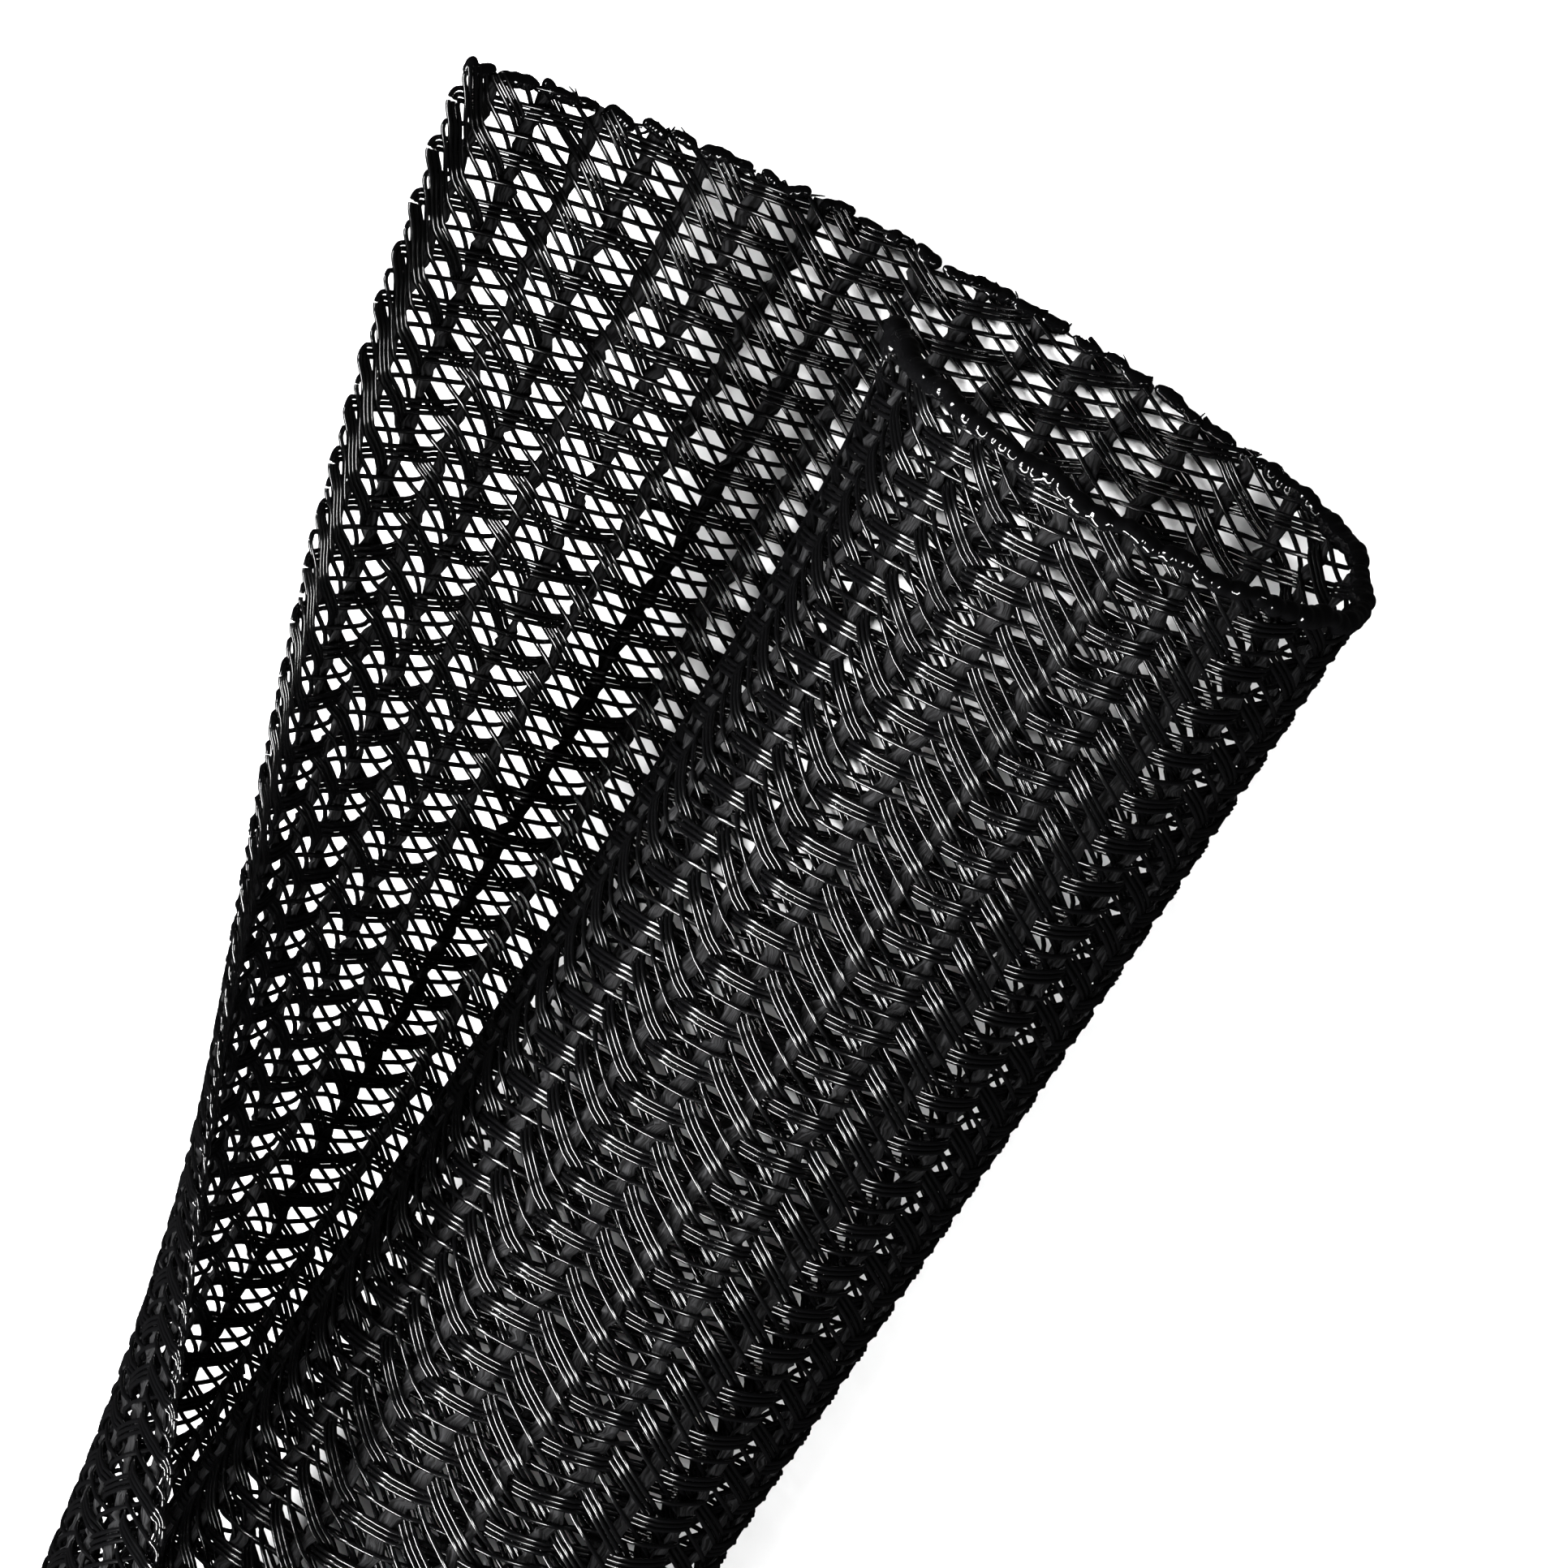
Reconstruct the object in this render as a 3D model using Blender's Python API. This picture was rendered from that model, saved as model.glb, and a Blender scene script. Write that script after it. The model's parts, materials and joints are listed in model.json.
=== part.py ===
"""Split, self-wrapping braided cable sleeve: one length of stock with one end sprung open.

The sleeve runs along X, with the sprung end at +X. It is one sheet of braid, rolled
round until one long edge, the flap, lies outside the other, the tuck. Each section is a
chain of arcs that starts at the foot, where the roll meets its flap, so the sheet keeps
its width all along the sleeve. Towards the sprung end the arcs of the flap are flatter.
"""

import math

import bmesh
import bpy
from mathutils import Matrix, Vector

MM = 0.001

# Driving dimensions of the stock
LENGTH = 305.0 * MM
BORE = 21.2 * MM
WALL = 0.8 * MM
FLAP_WIDTH = 38.0 * MM
TUCK_ANGLE = math.radians(100.0)

# How the closed flap passes the tucked edge and wraps the roll
FLAP_PASS_WIDTH = 16.0 * MM
FLAP_PASS_CLEARANCE = 1.9 * MM
FLAP_WRAP_CLEARANCE = 0.3 * MM

# How the end springs open
SPRUNG_RADIUS = 69.0 * MM
SPRUNG_LENGTH = 96.0 * MM
TUCK_FLARE = 2.5 * MM
TUCK_FLARE_LENGTH = 8.0 * MM

# Hot-cut ends: a fused lip, and a cut that sets back towards both long edges
LIP_THICKNESS = 1.3 * MM
LIP_LENGTH = 1.0 * MM
FLAP_SET_BACK = 2.0 * MM
TUCK_SET_BACK = 1.6 * MM

# Turn about its length at which the sleeve rests on a level floor
REST_TURN = math.radians(6.0)

# Facets
FACET_WIDTH = 2.0 * MM
SPRUNG_STEP = 8.0 * MM
CLOSED_STEP = 70.0 * MM

ROLL_RADIUS = (BORE + WALL) / 2
QUARTER = ROLL_RADIUS * math.pi / 2
TUCK_WIDTH = ROLL_RADIUS * TUCK_ANGLE
ROLL_WIDTH = 2 * QUARTER + TUCK_WIDTH
SHEET_WIDTH = ROLL_WIDTH + FLAP_WIDTH


def flap_arcs(distance):
    """Arcs (length, radius) from the foot to the flap's edge, at a distance from the cut."""
    sprung = 1 / SPRUNG_RADIUS
    wrapped = 1 / (ROLL_RADIUS + FLAP_WRAP_CLEARANCE)
    closing = min(distance / SPRUNG_LENGTH, 1.0)
    radius = 1 / (sprung + (wrapped - sprung) * closing)
    passing = max(radius, ROLL_RADIUS + FLAP_PASS_CLEARANCE)
    return [(FLAP_PASS_WIDTH, passing), (FLAP_WIDTH - FLAP_PASS_WIDTH, radius)]


def tuck_arcs(distance):
    """Arcs (length, radius) from the foot round the roll to the tucked edge."""
    flare = TUCK_FLARE * math.exp(-distance / TUCK_FLARE_LENGTH)
    return [(2 * QUARTER, ROLL_RADIUS), (TUCK_WIDTH, ROLL_RADIUS + flare)]


def walk(arcs, reach):
    """Sideways and upward travel after following arcs from the foot for a reach."""
    side, up, heading = 0.0, 0.0, 0.0
    for length, radius in arcs:
        step = min(reach, length)
        after = heading + step / radius
        side += radius * (math.sin(after) - math.sin(heading))
        up += radius * (math.cos(heading) - math.cos(after))
        heading = after
        reach -= step
    return side, up


def section_point(across, distance):
    """Point (y, z) of the sheet's middle, at a width across it from the tucked edge."""
    past_foot = across - ROLL_WIDTH
    if past_foot >= 0:
        return walk(flap_arcs(distance), past_foot)
    side, up = walk(tuck_arcs(distance), -past_foot)
    return -side, up


def set_back(across):
    """How far the sprung cut lies behind its foremost point, at a width across the sheet."""
    past_foot = across - ROLL_WIDTH
    if past_foot >= 0:
        return FLAP_SET_BACK * (past_foot / FLAP_WIDTH) ** 1.5
    to_edge = max(1 - across / TUCK_WIDTH, 0.0)
    return TUCK_SET_BACK * to_edge ** 1.5


def evenly(start, end, step):
    """Places from start to end, spaced as near to a step as divides the way evenly."""
    count = max(round((end - start) / step), 1)
    return [start + (end - start) * i / count for i in range(count + 1)]


def column_places():
    """Places of the columns across the sheet, with one facet centred on the resting line."""
    passing_radius = ROLL_RADIUS + FLAP_PASS_CLEARANCE
    resting_line = ROLL_WIDTH + passing_radius * REST_TURN
    tuck_side = evenly(0.0, resting_line - FACET_WIDTH / 2, FACET_WIDTH)
    flap_side = evenly(resting_line + FACET_WIDTH / 2, SHEET_WIDTH, FACET_WIDTH)
    return tuck_side + flap_side


def ring_distances():
    """Distances of the rings from the sprung cut, with the lips' own rings at both ends."""
    lip_foot = 1.5 * LIP_LENGTH
    bend = min(SPRUNG_LENGTH, LENGTH / 2)
    sprung = evenly(lip_foot, bend, SPRUNG_STEP)
    closed = evenly(bend, LENGTH - lip_foot, CLOSED_STEP)
    near_lip = [0.0, LIP_LENGTH]
    far_lip = [LENGTH - LIP_LENGTH, LENGTH]
    return near_lip + sprung + closed[1:] + far_lip


def lip_share(distance):
    """Thickness of the sheet as a share of the lip's."""
    to_end = min(distance, LENGTH - distance)
    return 1.0 if to_end < 1.25 * LIP_LENGTH else WALL / LIP_THICKNESS


def make_sheet():
    """The middle of the braided sheet, as a grid of rings and columns."""
    columns = column_places()
    distances = ring_distances()
    bm = bmesh.new()
    rings = []
    for distance in distances:
        ring = []
        for across in columns:
            back = set_back(across) * max(1 - distance / SPRUNG_LENGTH, 0.0)
            y, z = section_point(across, distance + back)
            ring.append(bm.verts.new((LENGTH / 2 - distance - back, y, z)))
        rings.append(ring)
    for ring, after in zip(rings, rings[1:]):
        for i in range(len(columns) - 1):
            bm.faces.new((ring[i], ring[i + 1], after[i + 1], after[i]))
    mesh = bpy.data.meshes.new("braided_sleeve")
    bm.to_mesh(mesh)
    bm.free()
    shares = [lip_share(distance) for distance in distances for _ in columns]
    return mesh, shares


def thicken(sleeve, shares):
    """Give the sheet its wall, and its cut ends their thicker lips."""
    group = sleeve.vertex_groups.new(name="thickness")
    for index, share in enumerate(shares):
        group.add([index], share, "REPLACE")
    wall = sleeve.modifiers.new("Wall", "SOLIDIFY")
    wall.thickness = LIP_THICKNESS
    wall.offset = 0.0
    wall.use_even_offset = True
    wall.use_quality_normals = True
    wall.vertex_group = group.name


def lay_on_floor(sleeve):
    """Turn the sleeve to its resting angle, over the origin and with its foot at z = 0."""
    turn = Matrix.Rotation(-REST_TURN, 4, "X")
    sleeve.data.transform(turn)
    bpy.context.view_layer.update()
    solid = sleeve.evaluated_get(bpy.context.evaluated_depsgraph_get())
    corners = [vertex.co for vertex in solid.data.vertices]
    low = Vector([min(corner[axis] for corner in corners) for axis in range(3)])
    high = Vector([max(corner[axis] for corner in corners) for axis in range(3)])
    sleeve.location = (-(low.x + high.x) / 2, -(low.y + high.y) / 2, -low.z)


def braid_material():
    """Glossy black plastic braid."""
    material = bpy.data.materials.new("black_braid")
    material.use_nodes = True
    shader = material.node_tree.nodes["Principled BSDF"]
    shader.inputs["Base Color"].default_value = (0.012, 0.012, 0.013, 1.0)
    shader.inputs["Roughness"].default_value = 0.32
    shader.inputs["Metallic"].default_value = 0.0
    return material


def make_sleeve():
    """The whole sleeve, as one closed solid."""
    mesh, shares = make_sheet()
    sleeve = bpy.data.objects.new("braided_sleeve", mesh)
    bpy.context.collection.objects.link(sleeve)
    mesh.materials.append(braid_material())
    thicken(sleeve, shares)
    lay_on_floor(sleeve)
    mesh.shade_smooth()
    mesh.set_sharp_from_angle(angle=math.radians(40.0))
    return sleeve


for old in list(bpy.data.objects):
    bpy.data.objects.remove(old, do_unlink=True)
make_sleeve()
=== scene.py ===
"""Weaves a split, self-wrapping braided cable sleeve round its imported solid.

The sleeve is one sheet of braid. Places on it are given by two widths: across, from the
tucked long edge round the roll to the flap's edge, and along, from the sprung cut end.
Bias strands cross the sheet both ways and turn back at both long edges, over and under
the lengthwise yarns, and the cut ends are fused into beads.
"""

import itertools
import json
import math

import bpy
import numpy as np
from mathutils import Matrix, Vector

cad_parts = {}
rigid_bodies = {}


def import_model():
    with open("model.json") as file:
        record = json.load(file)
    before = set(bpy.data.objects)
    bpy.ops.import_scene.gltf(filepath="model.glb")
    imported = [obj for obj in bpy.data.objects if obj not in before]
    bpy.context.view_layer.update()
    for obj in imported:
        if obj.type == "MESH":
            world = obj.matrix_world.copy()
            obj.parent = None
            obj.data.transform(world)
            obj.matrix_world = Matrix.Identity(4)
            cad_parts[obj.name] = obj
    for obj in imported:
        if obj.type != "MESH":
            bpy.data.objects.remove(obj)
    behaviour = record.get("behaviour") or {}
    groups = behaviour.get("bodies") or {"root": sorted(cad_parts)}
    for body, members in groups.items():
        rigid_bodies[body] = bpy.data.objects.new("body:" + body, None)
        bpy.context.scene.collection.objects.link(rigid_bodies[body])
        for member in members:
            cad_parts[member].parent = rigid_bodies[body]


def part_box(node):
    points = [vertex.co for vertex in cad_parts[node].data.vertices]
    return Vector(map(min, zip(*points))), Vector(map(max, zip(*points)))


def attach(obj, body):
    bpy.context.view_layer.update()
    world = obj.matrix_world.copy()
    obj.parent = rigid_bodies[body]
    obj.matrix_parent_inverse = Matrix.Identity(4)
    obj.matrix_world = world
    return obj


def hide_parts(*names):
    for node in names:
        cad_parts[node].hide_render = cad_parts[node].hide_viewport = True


bl_info = {
    "name": "Split Braided Sleeve",
    "version": (1, 0, 0),
    "blender": (4, 5, 0),
    "location": "3D View > Sidebar > Sleeve",
    "description": "Weaves a split braided cable sleeve round its packed solid",
    "category": "Add Mesh",
}

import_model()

MM = 0.001
NODE = "braided_sleeve"
BODY = "root"
SOLID_LOW, SOLID_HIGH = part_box(NODE)

# The last arc of a section is this many times longer, for strands that stand off its edge
OVERRUN = 10
# How the cut's set-back grows towards a corner
SET_BACK_POWER = 1.5
# Step over which the sheet's normals are measured
NORMAL_STEP = 0.05 * MM

# Scales of noise: filaments that stray sideways, and the yarns' loose fibres
STRAY_SCALE = 260.0
RAGGED_SCALE = 2300.0

# Where rows of the braid start to lead towards the sprung cut or to crowd, and the extra
# length of sheet that the rows are woven for
LEAD_SOFTNESS = 5.0 * MM
ROLL_LEAD_START = 36.0 * MM
FLAP_LEAD_START = 14.0 * MM
CROWDED_LENGTH = 70.0 * MM
LEAD_ALLOWANCE = 26.0 * MM

# How the fused tucked corner gathers its strands
CORNER_PLACE = 1.1 * MM
CORNER_GATHER = 0.65
CORNER_LENGTH = 2.2 * MM
CORNER_WIDTH = 3.2 * MM

# How strands sway, in radians a cell, and how steeply they run along the long edges
SWAY_RATES = (0.71, 1.93)
STEEPNESS = 1.3

# How turned strands round their hooks and bulge: shares of a hook's radius, and a mean size
HOOK_SOFTNESS = 0.25
BULGE_REACH = 1.5
BULGE_SIZE = 0.07 * MM
# How many bulges for each edge, and pairs of swings, are drawn for the strands to share
BULGES, PHASES = 997, 991

# How flat a strand's wave is at its tops, and where it starts in its cell
WAVE_FLATNESS = 2.1
WAVE_START = 0.25
# How the wave gives way to an even height where turned strands run as a rope
ROPE_SHARE = 0.75
ROPE_SHARPNESS = 4
ROPE_HEIGHT = 0.9
EDGE_REACH = 0.9

# Steps along a pass, in cells, and sides of a filament, in the sprung and the closed part
SPRUNG_STEP, SPRUNG_SIDES = 0.2, 5
CLOSED_STEP, CLOSED_OFFSET, CLOSED_SIDES = 0.5, 0.25, 3

# Places of a pass where it turns at a long edge, in cells
FINE_TURN = np.array([0, 0.018, 0.036, 0.054, 0.072, 0.09, 0.11, 0.16, 0.22, 0.3, 0.4, 0.52])
COARSE_TURN = np.array([0, 0.03, 0.06, 0.09, 0.12, 0.28, 0.5])
# Least gap between those places and the even steps of the middle, in cells
TURN_MARGIN = 0.1
# Shortest part of a clipped pass that is kept, in steps
SHORTEST_PART = 0.05

# How the sprung cut wanders: its mean depth, and wavelengths with their sizes
CUT_SEED = 5
CUT_DEPTH = 0.15 * MM
CUT_WANDERS = ((4.3 * MM, 0.12 * MM), (1.3 * MM, 0.09 * MM))

# How a yarn drifts, jogs and swells, as wavelengths with their sizes
YARN_WANDERS = ((3.1 * MM, 0.07 * MM), (0.9 * MM, 0.1 * MM), (0.8 * MM, 0.1))
YARN_SWELL_LIMITS = (0.75, 1.25)
YARN_STEPS_A_CELL, YARN_CELLS_A_STEP = 7, 2
YARN_SIDES = 7

# Scales of the noise that makes a yarn's fibres, round it and along it
FIBRES_AROUND, FIBRES_ALONG = 15.0, 900.0
# Values of that noise, with the shares of the yarn's colour that they get
FIBRE_SHADES = ((0.42, 0.15), (0.64, 4.0))

# Clusters of beads at a cut, in millimetres: ranges of length, gap and girth, and mean rise
ROLL_CLUSTERS = ((1.2, 3.4), (0.02, 0.3), (0.4, 0.54), 0.08)
FLAP_CLUSTERS = ((0.4, 1.9), (0.05, 0.75), (0.24, 0.36), 0.0)
# Spread of the clusters' tilt, rise and bow, in millimetres
CLUSTER_TILT, CLUSTER_LIFT, CLUSTER_BOW = 0.12, 0.1, 0.1
# How far before the foot the flap's clusters start
CLUSTER_CHANGE = 6.0 * MM
SPRUNG_CLUSTER_START, FAR_CLUSTER_START = 1.7 * MM, 0.1 * MM
BEAD_SPACING = 0.08 * MM
# How near to a long edge beads lie, and how far past the cut
BEAD_MARGIN, BEAD_OVERHANG = 0.15 * MM, 0.3 * MM
# How beads swell and shrink along a cluster, as shares of its girth
LUMP_HEIGHT, LUMP_PHASE, CLUSTER_TAPER = 0.16, 6, 0.3
# How the beads' skin is found in their volume, and how often it is smoothed
SKIN_THRESHOLD, SOFTENING = 0.1, 2

# Beads of the lump at the tucked corner, in millimetres: across, along, rise and radius
CORNER_BEADS = np.array([
    (0.5, 0.1, 0.15, 0.5), (0.7, -0.15, 0.25, 0.6), (0.95, -0.2, 0.3, 0.62),
    (1.25, -0.2, 0.25, 0.6), (1.55, 0.0, 0.15, 0.5), (0.7, 0.5, 0.2, 0.56), (1.1, 0.55, 0.25, 0.58),
    (1.45, 0.5, 0.2, 0.5), (0.85, 1.0, 0.15, 0.44), (1.2, 1.05, 0.15, 0.42),
])

# Threads drawn at the sprung cut and horns that stand off it, with their sizes in millimetres
THREADS, THREAD_POINTS, THREAD_SIDES, THREAD_SEED = 95, 7, 5, 21
THREAD_LENGTHS, THREAD_SAGS, THREAD_RADII = (0.7, 2.0), (0.0, 0.35), (0.045, 0.1)
THREAD_RISE, THREAD_CLIMB = 0.12, 0.15
HORN_CHANCE = 0.35
HORN_LENGTHS, HORN_RADII = (0.35, 0.85), (0.06, 0.1)
HORN_LEAN, HORN_RISE, HORN_CURL, HORN_REACH, HORN_TAPER = 0.8, 0.25, 0.2, 0.75, 0.55
THREAD_MARGIN, THREAD_OVERHANG = 0.1 * MM, 0.45 * MM
FIRST_THREAD, LAST_THREAD = 0.5 * MM, 2.0 * MM

HAND_NAMES = {1: "right", -1: "left"}
PIECES = {
    "triple_strands_right_sprung", "triple_strands_left_sprung",
    "triple_strands_right_closed", "triple_strands_left_closed",
    "single_strands_sprung", "single_strands_closed", "lengthwise_yarns",
    "fused_sprung_end", "fused_far_end", "drawn_threads",
}

# Where the camera looks and how it leans, and the half width of the floor
LOOK_AT = Vector((129.31, -6.35, 8.24)) * MM
CAMERA_LEAN = math.radians(17.75)
CAMERA_SIDE = math.radians(6.14)
CAMERA_ROLL = math.radians(56.35)
CAMERA_DISTANCE = 675.0 * MM
CAMERA_LENS = 341.3
FLOOR_REACH = 30.0

# The world's strength and the floor's colour for all but camera rays, which see both white
WORLD_LIGHT = 0.02
FLOOR_BOUNCE = (0.004, 0.004, 0.004)

# Azimuth, elevation, distance, size and power of the softboxes for the sleeve and the floor
SLEEVE_SOFTBOXES = {
    "key_softbox": (246, 30, 0.9, (0.9, 0.14), 34.0),
    "fill_softbox": (345, 60, 0.9, (0.4, 0.1), 7.0),
    "flap_softbox": (185, 32, 0.9, (0.5, 0.1), 14.0),
}
FLOOR_SOFTBOXES = {
    "floor_softbox": (90, 55, 1.2, (0.5, 0.5), 22.0),
    "side_floor_softbox": (175, 43, 1.2, (0.4, 0.4), 68.0),
}


def length_property(name, description, default):
    """A size in metres that a user may change."""
    return bpy.props.FloatProperty(
        name=name, description=description, default=default, unit="LENGTH", precision=5
    )


def colour_property(name, description, default):
    """A linear colour that a user may change."""
    return bpy.props.FloatVectorProperty(
        name=name, description=description, default=default, size=3, subtype="COLOR"
    )


class SleeveSheet(bpy.types.PropertyGroup):
    """Sizes of the rolled sheet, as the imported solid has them"""

    length: length_property(
        "Length", "Length of the sleeve", SOLID_HIGH.x - SOLID_LOW.x
    )
    roll_radius: length_property(
        "Roll Radius", "Radius of the closed roll at the middle of its wall", 11.0 * MM
    )
    tuck_angle: bpy.props.FloatProperty(
        name="Tuck Angle", description="How far the tucked edge lies past the roll's top",
        default=math.radians(100.0), subtype="ANGLE",
    )
    flap_width: length_property("Flap Width", "Width of the flap past the foot", 38.0 * MM)
    pass_width: length_property(
        "Pass Width", "Width of the closed flap that passes the tucked edge", 16.0 * MM
    )
    pass_clearance: length_property(
        "Pass Clearance", "Extra radius of the flap where it passes the tucked edge", 1.9 * MM
    )
    wrap_clearance: length_property(
        "Wrap Clearance", "Extra radius of the flap where it wraps the roll", 0.3 * MM
    )
    sprung_radius: length_property(
        "Sprung Radius", "Radius of the flap at the sprung cut", 69.0 * MM
    )
    sprung_length: length_property(
        "Sprung Length", "Length over which the flap closes", 96.0 * MM
    )
    tuck_flare: length_property(
        "Tuck Flare", "Extra radius of the tucked quarter at the sprung cut", 2.5 * MM
    )
    tuck_flare_length: length_property(
        "Tuck Flare Length", "Length over which that flare dies away", 8.0 * MM
    )
    flap_set_back: length_property(
        "Flap Set Back", "How far the cut sets back at the flap's corner", 2.0 * MM
    )
    tuck_set_back: length_property(
        "Tuck Set Back", "How far the cut sets back at the tucked corner", 1.6 * MM
    )
    lip_thickness: length_property(
        "Lip Thickness", "Thickness of the fused ends", 1.3 * MM
    )
    rest_turn: bpy.props.FloatProperty(
        name="Rest Turn", description="Turn about the length at which the sleeve rests",
        default=math.radians(6.0), subtype="ANGLE",
    )


class SleeveWeave(bpy.types.PropertyGroup):
    """Sizes of the braid"""

    columns: bpy.props.IntProperty(
        name="Columns", description="Lengthwise yarns across the sheet", default=31
    )
    roll_columns: bpy.props.FloatProperty(
        name="Roll Columns", description="Part of the columns that lie on the roll",
        default=17.68,
    )
    cell_length: length_property(
        "Cell Length", "Length of one repeat of the braid along a yarn", 2.42 * MM
    )
    filament: length_property("Filament", "Thickness of a monofilament", 0.25 * MM)
    lane_gap: length_property(
        "Lane Gap", "Distance between side-by-side filaments", 0.268 * MM
    )
    lift: length_property(
        "Lift", "How far a strand rises and dips through the sheet", 0.28 * MM
    )
    looseness: length_property(
        "Looseness", "How far filaments stray sideways", 0.07 * MM
    )
    sway: length_property("Sway", "How far whole strands stray along the sleeve", 0.05 * MM)
    yarn_width: length_property("Yarn Width", "Width of a lengthwise yarn", 0.8 * MM)
    yarn_thickness: length_property(
        "Yarn Thickness", "Thickness of a lengthwise yarn", 0.28 * MM
    )
    raggedness: length_property(
        "Raggedness", "How far the fibres of a yarn stand off its edges", 0.75 * MM
    )
    turn_radius: length_property(
        "Turn Radius", "Radius of a strand's hook at a long edge", 0.32 * MM
    )
    rope_width: length_property(
        "Rope Width", "Width of the long edges, where turned strands run steeply", 1.5 * MM
    )
    flap_skew: bpy.props.FloatProperty(
        name="Flap Skew", description="How steeply rows lead towards the sprung cut on the flap",
        default=0.35,
    )
    tuck_skew: bpy.props.FloatProperty(
        name="Tuck Skew", description="How steeply rows lead towards the sprung cut on the roll",
        default=0.236,
    )
    flap_crowding: bpy.props.FloatProperty(
        name="Flap Crowding", description="Part by which rows lie closer on the sprung flap",
        default=0.09,
    )
    sprung_detail: length_property(
        "Sprung Detail", "Length from the sprung cut with the finer filaments", 74.0 * MM
    )
    seed: bpy.props.IntProperty(name="Seed", description="Seed of the braid's variation", default=7)


class SleeveFinish(bpy.types.PropertyGroup):
    """Colours of the sleeve and of its stage"""

    filament: colour_property(
        "Filament", "Colour of the glossy monofilaments", (0.0018, 0.0018, 0.002)
    )
    yarn: colour_property("Yarn", "Colour of the matt yarns", (0.006, 0.006, 0.0063))
    fused: colour_property("Fused", "Colour of the fused beads", (0.0018, 0.0018, 0.002))
    floor: colour_property("Floor", "Colour of the floor", (0.85, 0.85, 0.85))


def roll_width(sheet):
    """Width of the sheet from its tucked edge to the foot, where the flap starts."""
    return sheet.roll_radius * (math.pi + sheet.tuck_angle)


def sheet_width(sheet):
    """Width of the whole sheet."""
    return roll_width(sheet) + sheet.flap_width


def follow(arcs, reach):
    """Travel sideways and upwards after following arcs for each reach."""
    side = np.zeros_like(reach)
    up = np.zeros_like(reach)
    heading = np.zeros_like(reach)
    left = reach.copy()
    for length, radius in arcs:
        step = np.minimum(left, length)
        after = heading + step / radius
        side += radius * (np.sin(after) - np.sin(heading))
        up += radius * (np.cos(heading) - np.cos(after))
        heading = after
        left = left - step
    return side, up


def flap_arcs(sheet, distance):
    """Arcs (length, radius) from the foot to the flap's edge."""
    sprung = 1 / sheet.sprung_radius
    wrapped = 1 / (sheet.roll_radius + sheet.wrap_clearance)
    closing = np.clip(distance / sheet.sprung_length, 0.0, 1.0)
    radius = 1 / (sprung + (wrapped - sprung) * closing)
    passing = np.maximum(radius, sheet.roll_radius + sheet.pass_clearance)
    return [(sheet.pass_width, passing), (OVERRUN * sheet.flap_width, radius)]


def tuck_arcs(sheet, distance):
    """Arcs (length, radius) from the foot round the roll to the tucked edge."""
    flare = sheet.tuck_flare * np.exp(-distance / sheet.tuck_flare_length)
    half_turn = math.pi * sheet.roll_radius
    return [(half_turn, sheet.roll_radius), (OVERRUN * half_turn, sheet.roll_radius + flare)]


def set_back(sheet, across):
    """How far the sprung cut lies behind its foremost point."""
    past_foot = np.clip((across - roll_width(sheet)) / sheet.flap_width, 0.0, None)
    to_tuck = np.clip(1 - across / (sheet.roll_radius * sheet.tuck_angle), 0.0, None)
    flap_part = sheet.flap_set_back * past_foot**SET_BACK_POWER
    return flap_part + sheet.tuck_set_back * to_tuck**SET_BACK_POWER


def sheet_places(sheet, across, along):
    """Places of the sheet's middle in the frame."""
    fade = np.clip(1 - along / sheet.sprung_length, 0.0, None)
    distance = along + set_back(sheet, across) * fade
    past_foot = across - roll_width(sheet)
    flap_side, flap_up = follow(flap_arcs(sheet, distance), np.clip(past_foot, 0.0, None))
    tuck_side, tuck_up = follow(tuck_arcs(sheet, distance), np.clip(-past_foot, 0.0, None))
    side = np.where(past_foot >= 0, flap_side, -tuck_side)
    up = np.where(past_foot >= 0, flap_up, tuck_up)
    cos, sin = math.cos(sheet.rest_turn), math.sin(sheet.rest_turn)
    # The roll's side and the lowest line of the sprung flap touch the solid's box
    half_lip = sheet.lip_thickness / 2
    foot_y = SOLID_LOW.y + half_lip + sheet.roll_radius * (1 - sin)
    foot_z = SOLID_LOW.z + half_lip + sheet.sprung_radius * (1 - cos)
    x = SOLID_HIGH.x - distance
    return np.stack([x, foot_y + side * cos + up * sin, foot_z - side * sin + up * cos], -1)


def unit(vectors):
    """Vectors scaled to length one."""
    return vectors / np.linalg.norm(vectors, axis=-1, keepdims=True)


def sheet_normals(sheet, across, along):
    """Directions that point out of the roll, square to the sheet."""
    here = sheet_places(sheet, across, along)
    across_way = sheet_places(sheet, across + NORMAL_STEP, along) - here
    along_way = sheet_places(sheet, across, along + NORMAL_STEP) - here
    return unit(np.cross(along_way, across_way))


def add_node(tree, kind, inputs=None, **settings):
    """Add a node, with each input set to a value or linked to a socket."""
    node = tree.nodes.new(kind)
    for key, value in settings.items():
        setattr(node, key, value)
    for key, value in (inputs or {}).items():
        if isinstance(value, bpy.types.NodeSocket):
            tree.links.new(value, node.inputs[key])
        else:
            node.inputs[key].default_value = value
    return node


def new_geometry_tree(name, sockets):
    """A Geometry Nodes tree with a geometry input and output and the named inputs."""
    tree = bpy.data.node_groups.new(name, "GeometryNodeTree")
    tree.interface.new_socket(name="Geometry", in_out="OUTPUT", socket_type="NodeSocketGeometry")
    tree.interface.new_socket(name="Geometry", in_out="INPUT", socket_type="NodeSocketGeometry")
    for socket_name, kind in sockets:
        tree.interface.new_socket(name=socket_name, in_out="INPUT", socket_type=kind)
    return tree, tree.nodes.new("NodeGroupInput").outputs


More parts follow.
